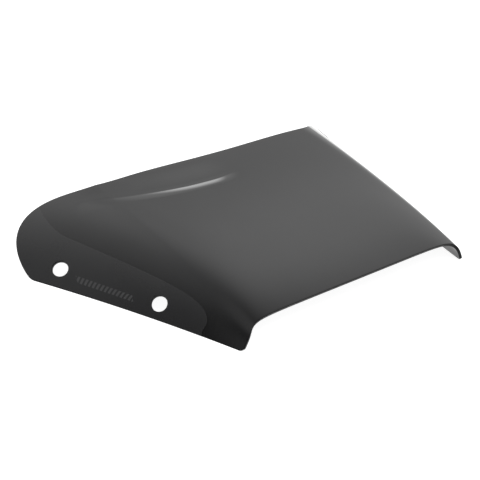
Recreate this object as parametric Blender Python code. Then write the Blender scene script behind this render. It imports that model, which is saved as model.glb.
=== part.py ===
"""Motorcycle windshield screen: a formed hood of smoked sheet with a satin mask on each cheek.

Metres, +Z up. -Y is the wide front edge that meets the fairing, +Y the narrow end with the short
turned-down flange. The hood rests on the lower edges of its cheeks. It is mirror-symmetric about X = 0 but
for the crease in its top, which runs from the centre line over the right half (+X).

The outer face is given by two numbers: u, from 0 at the centre line to 1 at the lower edge of a cheek
(negative on the -X side), and t, from 0 at the front edge to 1 at the rear edge. Each cross-section is
one conic from a level crown to a leaning cheek, and its laws change along the length.
"""

import bmesh
import bpy
import numpy as np

# Sheet
SHEET = 0.0032
STATION = 0.115  # spacing of the three stations that set the laws: rear, middle, front

# Laws of the cross-section, each at the rear, middle and front stations
HALF_WIDTH = (0.165, 0.2058, 0.2605)
CROWN_HEIGHT = (0.0184, 0.0537, 0.0704)
CHEEK_LEAN = (0.533, 0.741, 0.932)  # radians from vertical at the lower edge
FULLNESS = (1.913, 1.081, 0.901)  # natural logarithm of the conic's weight
CROWN_DISH = (0.0, 0.0058, 0.00995)  # how far the centre lies under the shoulders' tangent

# Front edge: straight across the top, forward at the noses, back at the lower corners
FRONT_LENGTH = 0.1983
NOSE_REACH = 0.0932
NOSE_POWER = 4.33
CORNER_SETBACK = 0.107
CORNER_POWER = 11.4
REAR_HOLLOW = 0.0087  # how far the rear edge is set in at the centre line
CORNER_RADIUS = 0.004

# Crease across the right half of the top, behind the front edge: a slope falls to a valley line, and the
# strip in front of the line rises back to full height
CREASE_LINE = 0.165  # distance of the valley line from the rear corners
CREASE_SWEEP = 0.034  # how far its outer end curves forward
CREASE_REACH = 0.172
CREASE_POWER = 4.5
CREASE_DEPTH = 0.0028
CREASE_FALL = 0.012  # length of the slope behind the line
CREASE_FALL_POWER = 1.7  # the slope starts softly and is steepest at the line
CREASE_RISE = 0.0035  # length of the short steep rise in front of it
CREASE_RISE_SHARE = 0.12  # share of the depth that the short rise takes back
CREASE_RUNOUT = 0.030  # the strip is back at full height this far in front of the line
CREASE_STAGES = (-0.006, 0.040, 0.056, 0.120, 0.130, 0.186)  # X: start, full, wane, waned, fade, end
CREASE_WANE = 0.36  # share of the depth that the crease loses on its way outward

# Holes for the mounting grommets, two in each cheek
HOLE_RADIUS = 0.0070
HOLES = (("front", 0.9615, 0.181), ("rear", 0.960, 0.607))

# Satin mask on each cheek
MASK_THICKNESS = 0.0004
MASK_GAP = 0.0003
MASK_EDGE_U = 0.9985  # its lower border stays off the lower edge of the cheek
MASK_START_T = 0.004
MASK_NOSE_U = 0.813  # upper border at the front edge
MASK_TOP_U = 0.875  # upper border along the cheek
MASK_NOSE_T = 0.185  # the border falls from the nose height to the cheek height over this length
MASK_NOSE_POWER = 1.6
MASK_SHOULDER_T = 0.60
MASK_END_T = 0.823
MASK_END_POWER = 3.2
MASK_END_ANGLE = 84.0
MASK_LEAST_WIDTH = 0.012  # in u
MASK_RETURN_U = 0.950  # below this line the rear end of the mask curves back
MASK_RETURN = 0.022  # in t
MASK_HOLE_CLEARANCE = 0.0004

# Mesh
SHEET_U_STEPS = 26
U_CROWDING = 1.25  # above 1 crowds the points towards the lower edges of the cheeks
FRONT_T_STEPS = 16
FRONT_T = 0.23
REAR_T_STEPS = 13
MASK_ROWS = 9
MASK_COLUMNS = 26
MASK_END_COLUMNS = 9
HOLE_SIDES = 32
CUTTER_HALF_LENGTH = 0.012
BASE_BLEND = 0.003  # height over which the inner face is brought level with the lower edge
LEAST_SIDEWAYS = 0.05  # keeps that shift finite where the hood is nearly level
CORNER_STEPS = (0.25, 0.6)  # extra rows beside each end, in front rows
DIFFERENCE_STEP = 1e-4

SMOKED = (0.005, 0.005, 0.0053, 1.0)
SMOKED_ROUGHNESS = 0.08
SATIN = (0.008, 0.008, 0.0085, 1.0)
SATIN_ROUGHNESS = 0.28


def law(stations, y):
    """A value between the stations, on the parabola through the three of them."""
    s = -y / STATION
    rear, middle, front = stations
    return rear * (s - 1) * (s - 2) / 2 - middle * s * (s - 2) + front * s * (s - 1) / 2


def smooth(x):
    x = np.clip(x, 0.0, 1.0)
    return x * x * (3 - 2 * x)


def crease_drop(x, y):
    """Depth of the pressed strip under the plain hood. Only the right half has it."""
    line = -(CREASE_LINE + CREASE_SWEEP * np.clip(x / CREASE_REACH, 0, 1) ** CREASE_POWER)
    ahead = line - y
    fall = np.clip(1 + ahead / CREASE_FALL, 0, 1) ** CREASE_FALL_POWER
    rise = CREASE_RISE_SHARE * smooth(ahead / CREASE_RISE)
    runout = (1 - CREASE_RISE_SHARE) * smooth((ahead - CREASE_RISE) / (CREASE_RUNOUT - CREASE_RISE))
    start, full, wane, waned, fade, end = CREASE_STAGES
    strength = smooth((x - start) / (full - start)) * smooth((end - x) / (end - fade))
    strength = strength * (1 - CREASE_WANE * smooth((x - wane) / (waned - wane)))
    return CREASE_DEPTH * strength * (fall - rise - runout)


def outer_face(u, t):
    """Points of the outer face, as an array whose last axis is X, Y, Z."""
    a = np.abs(u)
    y_front = -(FRONT_LENGTH + NOSE_REACH * a**NOSE_POWER - CORNER_SETBACK * a**CORNER_POWER)
    y_rear = -REAR_HOLLOW * (1 - a**2)
    y = y_front + (y_rear - y_front) * t
    dish = law(CROWN_DISH, y)
    top = law(CROWN_HEIGHT, y) + dish
    half = law(HALF_WIDTH, y)
    shoulder_x = half - top * np.tan(law(CHEEK_LEAN, y))
    weight = np.exp(law(FULLNESS, y))
    crown_part = (1 - a) ** 2
    shoulder_part = 2 * a * (1 - a) * weight
    total = crown_part + shoulder_part + a**2
    x = (shoulder_part * shoulder_x + a**2 * half) / total
    z = (crown_part + shoulder_part) * top / total
    z = z - dish * np.clip(1 - (x / shoulder_x) ** 2, 0, 1)
    x = np.sign(u) * x
    z = z - crease_drop(x, y)
    return np.stack([x, y, z], axis=-1)


def outward(u, t):
    """Unit normals of the outer face."""
    h = DIFFERENCE_STEP
    along_u = outer_face(u + h, t) - outer_face(u - h, t)
    along_t = outer_face(u, t + h) - outer_face(u, t - h)
    n = np.cross(along_u, along_t)
    n /= np.linalg.norm(n, axis=-1, keepdims=True)
    return n


def round_corners(u, t):
    """Pulls the four corners of the sheet in, so that each becomes an arc."""
    h = DIFFERENCE_STEP
    for corner_t, inward in ((0.0, 1.0), (1.0, -1.0)):
        one = np.array([1.0])
        at = np.array([corner_t])
        per_u = np.linalg.norm(outer_face(one, at) - outer_face(one - h, at)) / h
        per_t = np.linalg.norm(outer_face(one, at + inward * h) - outer_face(one, at)) / h
        size_u = CORNER_RADIUS / per_u
        size_t = CORNER_RADIUS / per_t
        p = np.clip((np.abs(u) - 1 + size_u) / size_u, 0, 1)
        q = np.clip(1 - (t - corner_t) * inward / size_t, 0, 1)
        u = u - np.sign(u) * size_u * p * (1 - np.sqrt(1 - q * q / 2))
        t = t + inward * size_t * q * (1 - np.sqrt(1 - p * p / 2))
    return u, t


def inner_face(points, normals):
    """The inner face under the given outer points, brought level with them where they meet the ground."""
    level = np.clip(1 - points[..., 2:] / BASE_BLEND, 0, 1)
    sideways = normals * np.array([1.0, 1.0, 0.0])
    sideways = sideways / np.maximum((sideways**2).sum(-1, keepdims=True), LEAST_SIDEWAYS)
    return points - SHEET * (normals * (1 - level) + sideways * level)


def shell(name, outer, inner, colour, roughness):
    """A closed body between two matching grids of points."""
    rows, columns = outer.shape[:2]
    mesh = bmesh.new()
    top = [[mesh.verts.new(p) for p in row] for row in outer]
    under = [[mesh.verts.new(p) for p in row] for row in inner]
    for i in range(rows - 1):
        for j in range(columns - 1):
            mesh.faces.new((top[i][j], top[i][j + 1], top[i + 1][j + 1], top[i + 1][j]))
            mesh.faces.new((under[i][j], under[i + 1][j], under[i + 1][j + 1], under[i][j + 1]))
    rim = [(0, j) for j in range(columns)]
    rim += [(i, columns - 1) for i in range(1, rows)]
    rim += [(rows - 1, j) for j in range(columns - 2, -1, -1)]
    rim += [(i, 0) for i in range(rows - 2, 0, -1)]
    for here, after in zip(rim, rim[1:] + rim[:1]):
        (i, j), (k, m) = here, after
        mesh.faces.new((top[k][m], top[i][j], under[i][j], under[k][m]))
    bmesh.ops.recalc_face_normals(mesh, faces=mesh.faces)
    return add_object(name, mesh, colour, roughness)


def add_object(name, mesh, colour, roughness):
    data = bpy.data.meshes.new(name)
    mesh.to_mesh(data)
    mesh.free()
    data.shade_smooth()
    obj = bpy.data.objects.new(name, data)
    bpy.context.scene.collection.objects.link(obj)
    material = bpy.data.materials.new(name)
    material.use_nodes = True
    shader = material.node_tree.nodes["Principled BSDF"]
    shader.inputs["Base Color"].default_value = colour
    shader.inputs["Roughness"].default_value = roughness
    shader.inputs["Metallic"].default_value = 0.0
    data.materials.append(material)
    return obj


def hole_cutter(name, u, t, radius, shift):
    """A prism along the cheek's own normal, to cut one hole."""
    centre = outer_face(np.array(u), np.array(t)) + shift
    axis = outward(np.array(u), np.array(t))
    side = np.cross(axis, (0.0, 0.0, 1.0))
    side /= np.linalg.norm(side)
    up = np.cross(axis, side)
    mesh = bmesh.new()
    rings = []
    for end in (-CUTTER_HALF_LENGTH, CUTTER_HALF_LENGTH):
        angles = [2 * np.pi * k / HOLE_SIDES for k in range(HOLE_SIDES)]
        ring = [centre + end * axis + radius * (np.cos(a) * side + np.sin(a) * up) for a in angles]
        rings.append([mesh.verts.new(p) for p in ring])
    mesh.faces.new(rings[0])
    mesh.faces.new(rings[1])
    for k in range(HOLE_SIDES):
        m = (k + 1) % HOLE_SIDES
        mesh.faces.new((rings[0][k], rings[0][m], rings[1][m], rings[1][k]))
    bmesh.ops.recalc_face_normals(mesh, faces=mesh.faces)
    cutter = add_object(name, mesh, SMOKED, SMOKED_ROUGHNESS)
    cutter.hide_render = True
    cutter.display_type = "WIRE"
    return cutter


def cut(obj, cutter):
    modifier = obj.modifiers.new("cut_" + cutter.name, "BOOLEAN")
    modifier.operation = "DIFFERENCE"
    modifier.solver = "EXACT"
    modifier.object = cutter


def sheet_grid():
    """u and t of the sheet's points, closer together at the crease and at the corners."""
    u_half = 1 - (1 - np.linspace(0, 1, SHEET_U_STEPS + 1)) ** U_CROWDING
    u_line = np.concatenate([-u_half[:0:-1], u_half])
    corner = np.array(CORNER_STEPS) * FRONT_T / FRONT_T_STEPS
    front = np.linspace(0, FRONT_T, FRONT_T_STEPS + 1)
    rear = np.linspace(FRONT_T, 1, REAR_T_STEPS + 1)[1:]
    t_line = np.concatenate([front[:1], corner, front[1:], rear[:-1], 1 - corner[::-1], rear[-1:]])
    t, u = np.meshgrid(t_line, u_line)
    return round_corners(u, t)


def mask_border():
    """Upper border of the mask, as u and t along its length."""
    t = np.linspace(MASK_START_T, MASK_SHOULDER_T, MASK_COLUMNS)
    nose = np.clip(1 - t / MASK_NOSE_T, 0, 1) ** MASK_NOSE_POWER
    u = MASK_TOP_U + (MASK_NOSE_U - MASK_TOP_U) * nose
    angle = np.radians(np.linspace(0, MASK_END_ANGLE, MASK_END_COLUMNS + 1))[1:]
    reach = np.sin(angle)
    t_end = MASK_SHOULDER_T + (MASK_END_T - MASK_SHOULDER_T) * reach
    u_end = 1 - (1 - MASK_TOP_U) * (1 - reach**MASK_END_POWER) ** (1 / MASK_END_POWER)
    return np.concatenate([u, u_end]), np.concatenate([t, t_end])


def mask_grid(side):
    border_u, border_t = mask_border()
    border_u = np.minimum(border_u, MASK_EDGE_U - MASK_LEAST_WIDTH)
    rows = np.linspace(0, 1, MASK_ROWS)[:, None]
    u = MASK_EDGE_U + (border_u - MASK_EDGE_U)[None, :] * rows
    low = smooth((u - MASK_RETURN_U) / (MASK_EDGE_U - MASK_RETURN_U))
    late = smooth((border_t - MASK_SHOULDER_T) / (MASK_END_T - MASK_SHOULDER_T))
    return round_corners(side * u, border_t - MASK_RETURN * low * late)


def build():
    u, t = sheet_grid()
    outer, normals = outer_face(u, t), outward(u, t)
    inner = inner_face(outer, normals)
    lengths = np.concatenate([outer[..., 1].ravel(), inner[..., 1].ravel()])
    shift = np.array([0.0, -(lengths.min() + lengths.max()) / 2, 0.0])
    screen = shell("screen", outer + shift, inner + shift, SMOKED, SMOKED_ROUGHNESS)
    for side_name, side in (("right", 1.0), ("left", -1.0)):
        u, t = mask_grid(side)
        face, normals = outer_face(u, t) + shift, outward(u, t)
        film = shell(
            "side_mask_" + side_name,
            face + (MASK_GAP + MASK_THICKNESS) * normals,
            face + MASK_GAP * normals,
            SATIN,
            SATIN_ROUGHNESS,
        )
        for hole, hole_u, hole_t in HOLES:
            name = side_name + "_" + hole
            cut(screen, hole_cutter("hole_" + name, side * hole_u, hole_t, HOLE_RADIUS, shift))
            wide = HOLE_RADIUS + MASK_HOLE_CLEARANCE
            cut(film, hole_cutter("mask_hole_" + name, side * hole_u, hole_t, wide, shift))


for old in list(bpy.data.objects):
    bpy.data.objects.remove(old, do_unlink=True)
build()
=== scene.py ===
"""Looks of the motorcycle windshield screen: a polished smoked hood with a satin mask on each cheek.

The outer face is the CAD part's own: u runs from 0 at the centre line to 1 at the lower edge of a cheek
(negative on the -X side), t from 0 at the front edge to 1 at the rear edge. Here it is meshed finely, with
rounded cut edges and round holes. All lengths are in metres.
"""

import math

import bmesh
import bpy
import numpy as np
from mathutils import Matrix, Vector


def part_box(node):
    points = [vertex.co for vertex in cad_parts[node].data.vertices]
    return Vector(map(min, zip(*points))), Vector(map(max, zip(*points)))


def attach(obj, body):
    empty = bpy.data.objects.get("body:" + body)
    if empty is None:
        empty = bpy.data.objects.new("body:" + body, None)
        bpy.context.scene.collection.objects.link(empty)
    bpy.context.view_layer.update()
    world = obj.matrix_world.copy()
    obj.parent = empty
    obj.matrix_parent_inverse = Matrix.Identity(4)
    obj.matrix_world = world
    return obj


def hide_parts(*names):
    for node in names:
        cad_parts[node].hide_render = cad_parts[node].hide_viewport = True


UP = (0.0, 0.0, 1.0)

# Shape of the hood, as in the CAD part
SHEET = 0.0032
STATION = 0.115
HALF_WIDTH = (0.165, 0.2058, 0.2605)
CROWN_HEIGHT = (0.0184, 0.0537, 0.0704)
CHEEK_LEAN = (0.533, 0.741, 0.932)
FULLNESS = (1.913, 1.081, 0.901)
CROWN_DISH = (0.0, 0.0058, 0.00995)
FRONT_LENGTH = 0.1983
NOSE_REACH = 0.0932
NOSE_POWER = 4.33
CORNER_SETBACK = 0.107
CORNER_POWER = 11.4
REAR_HOLLOW = 0.0087
CORNER_RADIUS = 0.004
CREASE_LINE = 0.165
CREASE_SWEEP = 0.034
CREASE_REACH = 0.172
CREASE_POWER = 4.5
CREASE_DEPTH = 0.0028
CREASE_FALL = 0.012
CREASE_FALL_POWER = 1.7
CREASE_RISE = 0.0035
CREASE_RISE_SHARE = 0.12
CREASE_RUNOUT = 0.030
CREASE_STAGES = (-0.006, 0.040, 0.056, 0.120, 0.130, 0.186)
CREASE_WANE = 0.36
HOLE_RADIUS = 0.0070
HOLES = ((0.9615, 0.181), (0.960, 0.607))

# Satin masks, as in the CAD part
MASK_THICKNESS = 0.0004
MASK_GAP = 0.0003
MASK_EDGE_U = 0.9985
MASK_START_T = 0.004
MASK_NOSE_U = 0.813
MASK_TOP_U = 0.875
MASK_NOSE_T = 0.185
MASK_NOSE_POWER = 1.6
MASK_SHOULDER_T = 0.60
MASK_END_T = 0.823
MASK_END_POWER = 3.2
MASK_END_ANGLE = 84.0
MASK_LEAST_WIDTH = 0.012
MASK_RETURN_U = 0.950
MASK_RETURN = 0.022
MASK_HOLE_CLEARANCE = 0.0004

# Cut edges
SHEET_EDGE_RADIUS = 0.0005
MASK_EDGE_RADIUS = 0.00015
EDGE_STEPS = 4

# Mesh
SHEET_U_STEPS = 110
U_CROWDING = 1.25
FRONT_T = 0.25
FRONT_T_STEPS = 48
REAR_T_STEPS = 72
MASK_ROWS = 44
MASK_COLUMNS = 120
MASK_END_COLUMNS = 26
HOLE_BLOCK = 1.35  # the plain grid gives way to rings round a hole out to this many radii
HOLE_RINGS = 5
RING_CROWDING = 1.3
BASE_BLEND = 0.003
LEAST_SIDEWAYS = 0.05
DIFFERENCE_STEP = 1e-4
NORMAL_WEIGHT = 50
EDGE_MATERIAL = 1  # index of the cut edges' material in each piece
SOLVER_STEPS = 8

# Camera
LENS = 117.3
SENSOR = 36.0
CAMERA_DISTANCE = 1.383
CAMERA_ELEVATION = math.radians(25.66)
CAMERA_HEADING = math.radians(37.01)
CAMERA_ROLL = math.radians(10.97)
CAMERA_TARGET = np.array([0.08638, 0.02987, 0.04679])
CAMERA_NEAR = 0.01
CAMERA_FAR = 100.0

# Materials
MIX_INPUTS = (6, 7)  # the colour sockets of a Mix node
MIX_OUTPUT = 2
PLASTIC_IOR = 1.5
NOISE_MIDDLE = (0.35, 0.65)  # the spans of a noise that are stretched into a tone or a roughness
NOISE_BROAD = (0.3, 0.7)

SMOKED_DARK = (0.0045, 0.0045, 0.0048)
SMOKED_PALE = (0.006, 0.006, 0.0063)
SMOKED_BLOTCH_SCALE = 11.0
SCRATCH_SCALE = (26.0, 900.0, 26.0)
SCRATCH_TURN = (0.0, 0.0, 0.35)
SCRATCH_SPAN = (0.66, 0.74)
SCRATCH_ROUGHNESS = 0.05
HAZE_SCALE = 60.0
HAZE_SPAN = (0.35, 0.7)
HAZE_ROUGHNESS = (0.075, 0.11)
WAVE_SCALE = 16.0
WAVE_HEIGHT = 0.0006
WAVE_STRENGTH = 0.12
PIT_SCALE = 420.0
PIT_HEIGHT = 0.00003
PIT_STRENGTH = 0.25

SAWN_DARK = (0.002, 0.002, 0.0022)
SAWN_PALE = (0.004, 0.004, 0.0043)
SAWN_ROUGHNESS = (0.36, 0.5)
SAWN_SPECULAR = 0.12
SAW_MARK_SCALE = (700.0, 700.0, 60.0)
SAW_MARK_HEIGHT = 0.00004
SAW_MARK_STRENGTH = 0.3

SATIN_DARK = (0.0125, 0.0125, 0.0130)
SATIN_PALE = (0.0150, 0.0150, 0.0155)
SATIN_ROUGHNESS = (0.11, 0.15)
SATIN_BLOTCH_SCALE = 14.0
GRAIN_SCALE = 1500.0
GRAIN_HEIGHT = 0.00003
GRAIN_STRENGTH = 0.35

# Generic row of slanted bars printed between the holes of each mask
BARS_START_T = 0.245
BARS_END_T = 0.49
BARS_LOW_U = 0.9795
BARS_HIGH_U = 0.9655
BARS_PITCH_T = 0.0175
BARS_SLANT = 1.6
BARS_SHARE = 0.55  # of the pitch that is printed
BARS_COVER = 0.8
BARS_COLOUR = (0.045, 0.045, 0.046)

# Floor
FLOOR_HALF = 12.0
FLOOR_CELLS = 6
FLOOR_DARK = (0.42, 0.42, 0.42)
FLOOR_PALE = (0.44, 0.44, 0.44)
FLOOR_TONE_SCALE = 3.0
FLOOR_ROUGHNESS = 0.9
FLOOR_GLOW = 0.91  # the table is lit from inside, so the ground under the hood stays pale

# Soft studio: a dome that is bright on the front side of the screen and dim behind it
DOME_AXIS = (-0.105, -0.892, -0.44)
DOME_FROM = -0.341
DOME_TO = -0.041
DOME_DIM = 0.07
DOME_BRIGHT = 1.43
HORIZON_SHARE = 0.5  # brightness left at the horizon
HORIZON_TOP = 0.68
OVERHEAD_AXIS = (0.092, 0.172, 0.981)
OVERHEAD_FROM = 0.628
OVERHEAD_BRIGHT = 0.55
STRIP_AXIS = (-0.70, -0.71, 0.06)  # a low strip light, which the crease catches
STRIP_FROM = 0.93
STRIP_TO = 0.992
STRIP_BRIGHT = 1.55
SECOND_AXIS = (-0.50, -0.71, 0.50)  # its upper end, for the outer stretch of the crease
SECOND_FROM = 0.945
SECOND_TO = 0.985
SECOND_BRIGHT = 0.28
DIP_AXIS = (-0.62, -0.70, 0.35)  # the dome is weaker round this direction
DIP_FROM = 0.84
DIP_TO = 0.955
DIP = -0.42
BACK_AXIS = (0.55, 0.76, 0.35)  # a fill from the flanged end, for the views from the front
BACK_FROM = 0.72
BACK_TO = 1.0
BACK_BRIGHT = 0.85
NOSE_AXIS = (0.15, -0.50, 0.85)  # a soft patch that the front of the near cheek catches
NOSE_FROM = 0.955
NOSE_TO = 0.995
NOSE_BRIGHT = 0.25
LAMP_SIZE = 4.0  # it lights the floor from above and doesn't show in the polished sheet
LAMP_HEIGHT = 3.0
LAMP_POWER = 60.0


def law(stations, y):
    """Quadratic through three values: at the rear edge, one STATION ahead of it and two ahead of it."""
    s = -y / STATION
    rear, middle, front = stations
    return rear * (s - 1) * (s - 2) / 2 - middle * s * (s - 2) + front * s * (s - 1) / 2


def smooth(x):
    x = np.clip(x, 0.0, 1.0)
    return x * x * (3 - 2 * x)


def crease_drop(x, y):
    """Depth of the pressed strip under the plain hood. Only the right half has it."""
    line = -(CREASE_LINE + CREASE_SWEEP * np.clip(x / CREASE_REACH, 0, 1) ** CREASE_POWER)
    ahead = line - y
    fall = np.clip(1 + ahead / CREASE_FALL, 0, 1) ** CREASE_FALL_POWER
    rise = CREASE_RISE_SHARE * smooth(ahead / CREASE_RISE)
    runout = (1 - CREASE_RISE_SHARE) * smooth((ahead - CREASE_RISE) / (CREASE_RUNOUT - CREASE_RISE))
    start, full, wane, waned, fade, end = CREASE_STAGES
    strength = smooth((x - start) / (full - start)) * smooth((end - x) / (end - fade))
    strength = strength * (1 - CREASE_WANE * smooth((x - wane) / (waned - wane)))
    return CREASE_DEPTH * strength * (fall - rise - runout)


def outer_face(u, t):
    """Point of the outer face: a conic section across, from the crown over a shoulder to the lower edge."""
    a = np.abs(u)
    y_front = -(FRONT_LENGTH + NOSE_REACH * a**NOSE_POWER - CORNER_SETBACK * a**CORNER_POWER)
    y_rear = -REAR_HOLLOW * (1 - a**2)
    y = y_front + (y_rear - y_front) * t
    dish = law(CROWN_DISH, y)
    top = law(CROWN_HEIGHT, y) + dish
    half = law(HALF_WIDTH, y)
    shoulder_x = half - top * np.tan(law(CHEEK_LEAN, y))
    weight = np.exp(law(FULLNESS, y))
    crown_part = (1 - a) ** 2
    shoulder_part = 2 * a * (1 - a) * weight
    total = crown_part + shoulder_part + a**2
    x = (shoulder_part * shoulder_x + a**2 * half) / total
    z = (crown_part + shoulder_part) * top / total
    z = z - dish * np.clip(1 - (x / shoulder_x) ** 2, 0, 1)
    x = np.sign(u) * x
    z = z - crease_drop(x, y)
    return np.stack([x, y, z], axis=-1)


def outward(u, t):
    h = DIFFERENCE_STEP
    along_u = outer_face(u + h, t) - outer_face(u - h, t)
    along_t = outer_face(u, t + h) - outer_face(u, t - h)
    n = np.cross(along_u, along_t)
    return n / np.linalg.norm(n, axis=-1, keepdims=True)


def sheet_under(u, t):
    """The inner face of the sheet, brought level with the outer one where they meet the ground."""
    points, normals = outer_face(u, t), outward(u, t)
    level = np.clip(1 - points[..., 2:] / BASE_BLEND, 0, 1)
    sideways = normals * np.array([1.0, 1.0, 0.0])
    sideways = sideways / np.maximum((sideways**2).sum(-1, keepdims=True), LEAST_SIDEWAYS)
    return points - SHEET * (normals * (1 - level) + sideways * level)


def film_top(u, t):
    return outer_face(u, t) + (MASK_GAP + MASK_THICKNESS) * outward(u, t)


def film_under(u, t):
    return outer_face(u, t) + MASK_GAP * outward(u, t)


def round_corners(u, t):
    """Pulls the four corners of the sheet in, so that each becomes an arc."""
    h = DIFFERENCE_STEP
    for corner_t, inward in ((0.0, 1.0), (1.0, -1.0)):
        one = np.array([1.0])
        at = np.array([corner_t])
        per_u = np.linalg.norm(outer_face(one, at) - outer_face(one - h, at)) / h
        per_t = np.linalg.norm(outer_face(one, at + inward * h) - outer_face(one, at)) / h
        size_u = CORNER_RADIUS / per_u
        size_t = CORNER_RADIUS / per_t
        p = np.clip((np.abs(u) - 1 + size_u) / size_u, 0, 1)
        q = np.clip(1 - (t - corner_t) * inward / size_t, 0, 1)
        u = u - np.sign(u) * size_u * p * (1 - np.sqrt(1 - q * q / 2))
        t = t + inward * size_t * q * (1 - np.sqrt(1 - p * p / 2))
    return u, t


def sheet_grid():
    u_half = 1 - (1 - np.linspace(0, 1, SHEET_U_STEPS + 1)) ** U_CROWDING
    u_line = np.concatenate([-u_half[:0:-1], u_half])
    front = np.linspace(0, FRONT_T, FRONT_T_STEPS + 1)
    rear = np.linspace(FRONT_T, 1, REAR_T_STEPS + 1)[1:]
    t, u = np.meshgrid(np.concatenate([front, rear]), u_line)
    return round_corners(u, t)


def mask_grid(side):
    t = np.linspace(MASK_START_T, MASK_SHOULDER_T, MASK_COLUMNS)
    nose = np.clip(1 - t / MASK_NOSE_T, 0, 1) ** MASK_NOSE_POWER
    u = MASK_TOP_U + (MASK_NOSE_U - MASK_TOP_U) * nose
    angle = np.radians(np.linspace(0, MASK_END_ANGLE, MASK_END_COLUMNS + 1))[1:]
    reach = np.sin(angle)
    t_end = MASK_SHOULDER_T + (MASK_END_T - MASK_SHOULDER_T) * reach
    u_end = 1 - (1 - MASK_TOP_U) * (1 - reach**MASK_END_POWER) ** (1 / MASK_END_POWER)
    border_u = np.minimum(np.concatenate([u, u_end]), MASK_EDGE_U - MASK_LEAST_WIDTH)
    border_t = np.concatenate([t, t_end])
    rows = np.linspace(0, 1, MASK_ROWS)[:, None]
    u = MASK_EDGE_U + (border_u - MASK_EDGE_U)[None, :] * rows
    low = smooth((u - MASK_RETURN_U) / (MASK_EDGE_U - MASK_RETURN_U))
    late = smooth((border_t - MASK_SHOULDER_T) / (MASK_END_T - MASK_SHOULDER_T))
    return round_corners(side * u, border_t - MASK_RETURN * low * late)


def hole_plane(u0, t0):
    """Centre of a hole and the two directions across its axis."""
    at_u, at_t = np.array(u0), np.array(t0)
    centre, axis = outer_face(at_u, at_t), outward(at_u, at_t)
    side = np.cross(axis, UP)
    side /= np.linalg.norm(side)
    return centre, np.stack([side, np.cross(axis, side)], axis=-1)


def across(u, t, plane):
    """Distances of face points from a hole's axis, along its two directions."""
    centre, directions = plane
    return (outer_face(u, t) - centre) @ directions


def solve_across(target, u0, t0, plane):
    """u and t of the face points that lie at the target distances from a hole's axis."""
    h = DIFFERENCE_STEP
    u = np.full(len(target), float(u0))
    t = np.full(len(target), float(t0))
    for _ in range(SOLVER_STEPS):
        here = across(u, t, plane)
        by_u = (across(u + h, t, plane) - here) / h
        by_t = (across(u, t + h, plane) - here) / h
        miss = target - here
        det = by_u[:, 0] * by_t[:, 1] - by_u[:, 1] * by_t[:, 0]
        u = u + (miss[:, 0] * by_t[:, 1] - miss[:, 1] * by_t[:, 0]) / det
        t = t + (by_u[:, 0] * miss[:, 1] - by_u[:, 1] * miss[:, 0]) / det
    return u, t


def punched_grid(u, t, side_holes, radius):
    """A grid with round holes: its points, its faces, and each border as (point, inner neighbour) pairs."""
    rows, columns = u.shape
    index = np.arange(rows * columns).reshape(rows, columns)
    points = [np.stack([u.ravel(), t.ravel()], axis=-1)]
    count = rows * columns
    open_cells = np.zeros((rows - 1, columns - 1), bool)
    faces, borders = [], []
    for u0, t0 in side_holes:
        plane = hole_plane(u0, t0)
        lateral = across(u, t, plane)
        near = (np.linalg.norm(lateral, axis=-1) < HOLE_BLOCK * radius) & (np.sign(u) == np.sign(u0))
        i_near, j_near = np.nonzero(near)
        i0, i1 = i_near.min() - 1, i_near.max() + 1
        j0, j1 = j_near.min() - 1, j_near.max() + 1
        open_cells[i0:i1, j0:j1] = True
        walk = [(i0, j) for j in range(j0, j1)] + [(i, j1) for i in range(i0, i1)]
        walk += [(i1, j) for j in range(j1, j0, -1)] + [(i, j0) for i in range(i1, i0, -1)]
        edge = np.array([index[i, j] for i, j in walk])
        edge_uv = points[0][edge]
        reach = across(edge_uv[:, 0], edge_uv[:, 1], plane)
        circle = radius * reach / np.linalg.norm(reach, axis=-1, keepdims=True)
        circle_uv = np.stack(solve_across(circle, u0, t0, plane), axis=-1)
        rings = []
        for k in range(HOLE_RINGS):
            share = (k / HOLE_RINGS) ** RING_CROWDING
            points.append(circle_uv * (1 - share) + edge_uv * share)
            rings.append(np.arange(count, count + len(edge)))
            count += len(edge)
        rings.append(edge)
        for inner, outer in zip(rings, rings[1:]):
            for k in range(len(edge)):
                m = (k + 1) % len(edge)
                faces.append((inner[k], inner[m], outer[m], outer[k]))
        borders.append(list(zip(rings[0], rings[1])))
    for i in range(rows - 1):
        for j in range(columns - 1):
            if not open_cells[i, j]:
                faces.append((index[i, j], index[i, j + 1], index[i + 1, j + 1], index[i + 1, j]))
    rim = [(0, j) for j in range(columns)] + [(i, columns - 1) for i in range(1, rows)]
    rim += [(rows - 1, j) for j in range(columns - 2, -1, -1)] + [(i, 0) for i in range(rows - 2, 0, -1)]
    inside = [(min(max(i, 1), rows - 2), min(max(j, 1), columns - 2)) for i, j in rim]
    borders.append([(index[a], index[b]) for a, b in zip(rim, inside)])
    return np.concatenate(points), faces, borders


def towards(start, end, distance):
    step = end - start
    return start + distance * step / np.linalg.norm(step)


def rounded(start, corner, end):
    """Points of the rounding between start and end, round the corner, without its two ends."""
    shares = np.linspace(0, 1, EDGE_STEPS + 1)[1:-1]
    return [(1 - s) ** 2 * start + 2 * s * (1 - s) * corner + s * s * end for s in shares]


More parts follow.
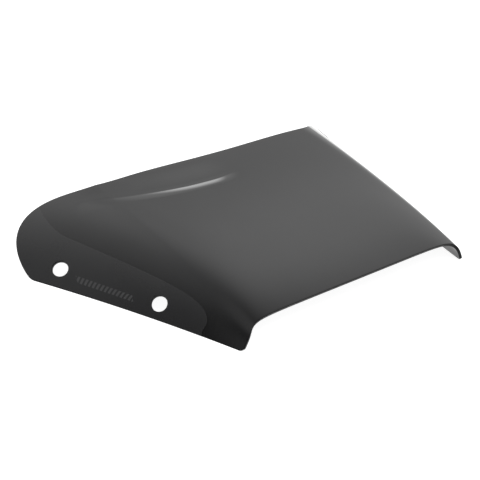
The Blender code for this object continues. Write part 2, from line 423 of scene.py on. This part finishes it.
def formed_sheet(name, grid, top_of, under_of, edge_radius):
    """A closed sheet between two faces over one grid, with its cut edges rounded."""
    uv, faces, borders = grid
    top = top_of(uv[:, 0], uv[:, 1])
    under = under_of(uv[:, 0], uv[:, 1])
    corner_top, corner_under = top.copy(), under.copy()
    for border in borders:
        for point, inner in border:
            top[point] = towards(corner_top[point], corner_top[inner], edge_radius)
            under[point] = towards(corner_under[point], corner_under[inner], edge_radius)
    mesh = bmesh.new()
    panel_layer = mesh.verts.layers.float_vector.new("panel")
    used = sorted({point for face in faces for point in face})
    top_verts, under_verts = {}, {}
    for point in used:
        for verts, place in ((top_verts, top), (under_verts, under)):
            vert = mesh.verts.new(place[point])
            vert[panel_layer] = (uv[point, 0], uv[point, 1], 0.0)
            verts[point] = vert
    for face in faces:
        mesh.faces.new([top_verts[point] for point in face])
        mesh.faces.new([under_verts[point] for point in reversed(face)])
    for border in borders:
        chains = []
        for point, _ in border:
            high, low = corner_top[point], corner_under[point]
            wall_high = towards(high, low, edge_radius)
            wall_low = towards(low, high, edge_radius)
            path = rounded(top[point], high, wall_high) + [wall_high, wall_low]
            path += rounded(wall_low, low, under[point])
            chain = [top_verts[point]]
            for place in path:
                vert = mesh.verts.new(place)
                vert[panel_layer] = (uv[point, 0], uv[point, 1], 0.0)
                chain.append(vert)
            chains.append(chain + [under_verts[point]])
        for here, after in zip(chains, chains[1:] + chains[:1]):
            for k in range(len(here) - 1):
                wall = mesh.faces.new((here[k], after[k], after[k + 1], here[k + 1]))
                wall.material_index = EDGE_MATERIAL
    bmesh.ops.recalc_face_normals(mesh, faces=mesh.faces)
    data = bpy.data.meshes.new(name)
    mesh.to_mesh(data)
    mesh.free()
    data.shade_smooth()
    obj = bpy.data.objects.new(name, data)
    bpy.context.scene.collection.objects.link(obj)
    normals = obj.modifiers.new("face_weighted_normals", "WEIGHTED_NORMAL")
    normals.mode = "FACE_AREA"
    normals.weight = NORMAL_WEIGHT
    return obj


class Nodes:
    """Short calls for building a material's nodes."""

    def __init__(self, name):
        self.material = bpy.data.materials.new(name)
        self.material.use_nodes = True
        self.tree = self.material.node_tree
        self.shader = self.tree.nodes["Principled BSDF"]

    def link(self, source, target):
        self.tree.links.new(source, target)

    def value(self, target, source):
        if isinstance(source, (int, float)):
            target.default_value = source
        else:
            self.link(source, target)

    def place(self, scale=(1.0, 1.0, 1.0), turn=(0.0, 0.0, 0.0)):
        coordinates = self.tree.nodes.new("ShaderNodeTexCoord")
        mapping = self.tree.nodes.new("ShaderNodeMapping")
        mapping.inputs["Scale"].default_value = scale
        mapping.inputs["Rotation"].default_value = turn
        self.link(coordinates.outputs["Object"], mapping.inputs["Vector"])
        return mapping.outputs["Vector"]

    def noise(self, where, scale, detail=3.0):
        noise = self.tree.nodes.new("ShaderNodeTexNoise")
        noise.inputs["Scale"].default_value = scale
        noise.inputs["Detail"].default_value = detail
        self.link(where, noise.inputs["Vector"])
        return noise.outputs["Fac"]

    def spread(self, source, span, result=(0.0, 1.0)):
        """Stretches a span of the source smoothly over the result's range."""
        node = self.tree.nodes.new("ShaderNodeMapRange")
        node.interpolation_type = "SMOOTHSTEP"
        for name, number in zip(("From Min", "From Max", "To Min", "To Max"), span + result):
            node.inputs[name].default_value = number
        self.link(source, node.inputs["Value"])
        return node.outputs["Result"]

    def math(self, operation, a, b=0.0):
        node = self.tree.nodes.new("ShaderNodeMath")
        node.operation = operation
        self.value(node.inputs[0], a)
        self.value(node.inputs[1], b)
        return node.outputs[0]

    def attribute(self, name, output):
        node = self.tree.nodes.new("ShaderNodeAttribute")
        node.attribute_name = name
        return node.outputs[output]

    def colour_mix(self, share, first, second):
        node = self.tree.nodes.new("ShaderNodeMix")
        node.data_type = "RGBA"
        self.value(node.inputs["Factor"], share)
        for index, colour in zip(MIX_INPUTS, (first, second)):
            if isinstance(colour, tuple):
                node.inputs[index].default_value = (*colour, 1.0)
            else:
                self.link(colour, node.inputs[index])
        return node.outputs[MIX_OUTPUT]

    def bump(self, height, distance, strength, below=None):
        node = self.tree.nodes.new("ShaderNodeBump")
        node.inputs["Distance"].default_value = distance
        node.inputs["Strength"].default_value = strength
        self.link(height, node.inputs["Height"])
        if below is not None:
            self.link(below, node.inputs["Normal"])
        return node.outputs["Normal"]


def smoked_material():
    """Polished dark sheet: faint blotches, haze, hairline scratches, forming waves and fine pits."""
    n = Nodes("smoked_sheet")
    blotches = n.spread(n.noise(n.place(), SMOKED_BLOTCH_SCALE), NOISE_MIDDLE)
    n.link(n.colour_mix(blotches, SMOKED_DARK, SMOKED_PALE), n.shader.inputs["Base Color"])
    hairs = n.noise(n.place(scale=SCRATCH_SCALE, turn=SCRATCH_TURN), 1.0, detail=2.0)
    scratches = n.spread(hairs, SCRATCH_SPAN, (0.0, SCRATCH_ROUGHNESS))
    haze = n.spread(n.noise(n.place(), HAZE_SCALE, detail=5.0), HAZE_SPAN, HAZE_ROUGHNESS)
    n.link(n.math("ADD", haze, scratches), n.shader.inputs["Roughness"])
    waves = n.bump(n.noise(n.place(), WAVE_SCALE, detail=1.0), WAVE_HEIGHT, WAVE_STRENGTH)
    pits = n.noise(n.place(), PIT_SCALE, detail=2.0)
    n.link(n.bump(pits, PIT_HEIGHT, PIT_STRENGTH, waves), n.shader.inputs["Normal"])
    n.shader.inputs["IOR"].default_value = PLASTIC_IOR
    return n.material


def cut_edge_material():
    """Sawn and eased edge of the sheet: matte and dark, with fine saw marks down its thickness."""
    n = Nodes("sawn_edge")
    marks = n.noise(n.place(scale=SAW_MARK_SCALE), 1.0)
    n.link(n.colour_mix(marks, SAWN_DARK, SAWN_PALE), n.shader.inputs["Base Color"])
    n.link(n.spread(marks, NOISE_MIDDLE, SAWN_ROUGHNESS), n.shader.inputs["Roughness"])
    n.link(n.bump(marks, SAW_MARK_HEIGHT, SAW_MARK_STRENGTH), n.shader.inputs["Normal"])
    n.shader.inputs["IOR"].default_value = PLASTIC_IOR
    n.shader.inputs["Specular IOR Level"].default_value = SAWN_SPECULAR
    return n.material


def satin_material():
    """Fine-grained satin film with a faint printed row of slanted bars."""
    n = Nodes("satin_mask")
    split = n.tree.nodes.new("ShaderNodeSeparateXYZ")
    n.link(n.attribute("panel", "Vector"), split.inputs["Vector"])
    up = n.math("ABSOLUTE", split.outputs["X"])
    along = split.outputs["Y"]
    leaning = n.math("ADD", along, n.math("MULTIPLY", up, BARS_SLANT))
    phase = n.math("FRACT", n.math("DIVIDE", leaning, BARS_PITCH_T))
    bar = n.math("LESS_THAN", phase, BARS_SHARE)
    for value, limit, operation in (
        (along, BARS_START_T, "GREATER_THAN"),
        (along, BARS_END_T, "LESS_THAN"),
        (up, BARS_HIGH_U, "GREATER_THAN"),
        (up, BARS_LOW_U, "LESS_THAN"),
    ):
        bar = n.math("MULTIPLY", bar, n.math(operation, value, limit))
    blotches = n.spread(n.noise(n.place(), SATIN_BLOTCH_SCALE), NOISE_MIDDLE)
    plain = n.colour_mix(blotches, SATIN_DARK, SATIN_PALE)
    printed = n.colour_mix(n.math("MULTIPLY", bar, BARS_COVER), plain, BARS_COLOUR)
    n.link(printed, n.shader.inputs["Base Color"])
    grain = n.noise(n.place(), GRAIN_SCALE, detail=2.0)
    n.link(n.spread(grain, NOISE_BROAD, SATIN_ROUGHNESS), n.shader.inputs["Roughness"])
    n.link(n.bump(grain, GRAIN_HEIGHT, GRAIN_STRENGTH), n.shader.inputs["Normal"])
    n.shader.inputs["IOR"].default_value = PLASTIC_IOR
    return n.material


def floor_material():
    n = Nodes("pale_floor")
    tone = n.spread(n.noise(n.place(), FLOOR_TONE_SCALE), NOISE_BROAD)
    n.link(n.colour_mix(tone, FLOOR_DARK, FLOOR_PALE), n.shader.inputs["Base Color"])
    n.shader.inputs["Roughness"].default_value = FLOOR_ROUGHNESS
    n.shader.inputs["Specular IOR Level"].default_value = 0.0
    n.shader.inputs["Emission Color"].default_value = (1.0, 1.0, 1.0, 1.0)
    n.shader.inputs["Emission Strength"].default_value = FLOOR_GLOW
    return n.material


def add_floor(level):
    mesh = bmesh.new()
    bmesh.ops.create_grid(mesh, x_segments=FLOOR_CELLS, y_segments=FLOOR_CELLS, size=FLOOR_HALF)
    data = bpy.data.meshes.new("floor")
    mesh.to_mesh(data)
    mesh.free()
    floor = bpy.data.objects.new("floor", data)
    floor.location.z = level
    bpy.context.scene.collection.objects.link(floor)
    data.materials.append(floor_material())


def add_light():
    world = bpy.data.worlds.new("soft_studio")
    bpy.context.scene.world = world
    world.use_nodes = True
    tree = world.node_tree
    background = tree.nodes["Background"]
    background.inputs["Color"].default_value = (1.0, 1.0, 1.0, 1.0)
    direction = tree.nodes.new("ShaderNodeTexCoord").outputs["Generated"]

    def graded(axis, start, end, dim, bright):
        lean = tree.nodes.new("ShaderNodeVectorMath")
        lean.operation = "DOT_PRODUCT"
        lean.inputs[1].default_value = axis
        tree.links.new(direction, lean.inputs[0])
        grade = tree.nodes.new("ShaderNodeMapRange")
        grade.interpolation_type = "SMOOTHSTEP"
        for name, number in (("From Min", start), ("From Max", end), ("To Min", dim), ("To Max", bright)):
            grade.inputs[name].default_value = number
        tree.links.new(lean.outputs["Value"], grade.inputs["Value"])
        return grade.outputs["Result"]

    def combined(operation, first, second):
        node = tree.nodes.new("ShaderNodeMath")
        node.operation = operation
        tree.links.new(first, node.inputs[0])
        tree.links.new(second, node.inputs[1])
        return node.outputs[0]

    front = graded(DOME_AXIS, DOME_FROM, DOME_TO, DOME_DIM, DOME_BRIGHT)
    height = graded(UP, 0.0, HORIZON_TOP, HORIZON_SHARE, 1.0)
    above = graded(OVERHEAD_AXIS, OVERHEAD_FROM, 1.0, 0.0, OVERHEAD_BRIGHT)
    strip = graded(STRIP_AXIS, STRIP_FROM, STRIP_TO, 0.0, STRIP_BRIGHT)
    second = graded(SECOND_AXIS, SECOND_FROM, SECOND_TO, 0.0, SECOND_BRIGHT)
    behind = graded(BACK_AXIS, BACK_FROM, BACK_TO, 0.0, BACK_BRIGHT)
    dip = graded(DIP_AXIS, DIP_FROM, DIP_TO, 0.0, DIP)
    nose = graded(NOSE_AXIS, NOSE_FROM, NOSE_TO, 0.0, NOSE_BRIGHT)
    total = combined("MULTIPLY", front, height)
    for part in (above, strip, second, behind, dip, nose):
        total = combined("ADD", total, part)
    tree.links.new(total, background.inputs["Strength"])
    light = bpy.data.lights.new("overhead", "AREA")
    light.size = LAMP_SIZE
    light.energy = LAMP_POWER
    lamp = bpy.data.objects.new("overhead", light)
    lamp.location.z = LAMP_HEIGHT
    lamp.visible_glossy = False
    bpy.context.scene.collection.objects.link(lamp)


def add_camera():
    cos_e, sin_e = math.cos(CAMERA_ELEVATION), math.sin(CAMERA_ELEVATION)
    back = np.array([math.cos(CAMERA_HEADING) * cos_e, math.sin(CAMERA_HEADING) * cos_e, sin_e])
    level_right = np.cross(-back, UP)
    level_right /= np.linalg.norm(level_right)
    level_up = np.cross(back, level_right)
    right = math.cos(CAMERA_ROLL) * level_right + math.sin(CAMERA_ROLL) * level_up
    up = math.cos(CAMERA_ROLL) * level_up - math.sin(CAMERA_ROLL) * level_right
    data = bpy.data.cameras.new("camera")
    data.lens = LENS
    data.sensor_width = SENSOR
    data.clip_start = CAMERA_NEAR
    data.clip_end = CAMERA_FAR
    camera = bpy.data.objects.new("camera", data)
    camera.matrix_world = Matrix(np.column_stack([right, up, back]).tolist()).to_4x4()
    camera.location = CAMERA_TARGET + CAMERA_DISTANCE * back
    bpy.context.scene.collection.objects.link(camera)
    bpy.context.scene.camera = camera


def dress(obj, materials, node, shift):
    """Puts a piece in its place. Its materials are the one of its faces and the one of its cut edges."""
    obj.data.transform(Matrix.Translation(shift))
    for material in materials:
        obj.data.materials.append(material)
    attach(obj, "root")
    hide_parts(node)


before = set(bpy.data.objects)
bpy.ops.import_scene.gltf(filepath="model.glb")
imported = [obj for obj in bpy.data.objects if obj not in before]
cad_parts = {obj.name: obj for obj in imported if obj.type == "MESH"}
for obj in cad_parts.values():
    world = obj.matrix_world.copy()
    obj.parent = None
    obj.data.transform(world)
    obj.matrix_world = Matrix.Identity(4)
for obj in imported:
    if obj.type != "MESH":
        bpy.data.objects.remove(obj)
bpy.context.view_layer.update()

sides = (("right", 1.0), ("left", -1.0))
sheet_holes = [(side * u, t) for _, side in sides for u, t in HOLES]
screen = formed_sheet(
    "smoked_screen",
    punched_grid(*sheet_grid(), sheet_holes, HOLE_RADIUS),
    outer_face,
    sheet_under,
    SHEET_EDGE_RADIUS,
)
lengths = [vertex.co.y for vertex in screen.data.vertices]
low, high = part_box("screen")
shift = (0.0, (low.y + high.y - min(lengths) - max(lengths)) / 2, 0.0)
dress(screen, (smoked_material(), cut_edge_material()), "screen", shift)

satin = satin_material()
for side_name, side in sides:
    film = formed_sheet(
        "satin_mask_" + side_name,
        punched_grid(*mask_grid(side), [(side * u, t) for u, t in HOLES], HOLE_RADIUS + MASK_HOLE_CLEARANCE),
        film_top,
        film_under,
        MASK_EDGE_RADIUS,
    )
    dress(film, (satin, satin), "side_mask_" + side_name, shift)

add_floor(low.z)
add_light()
add_camera()
bpy.context.scene.view_settings.view_transform = "Standard"
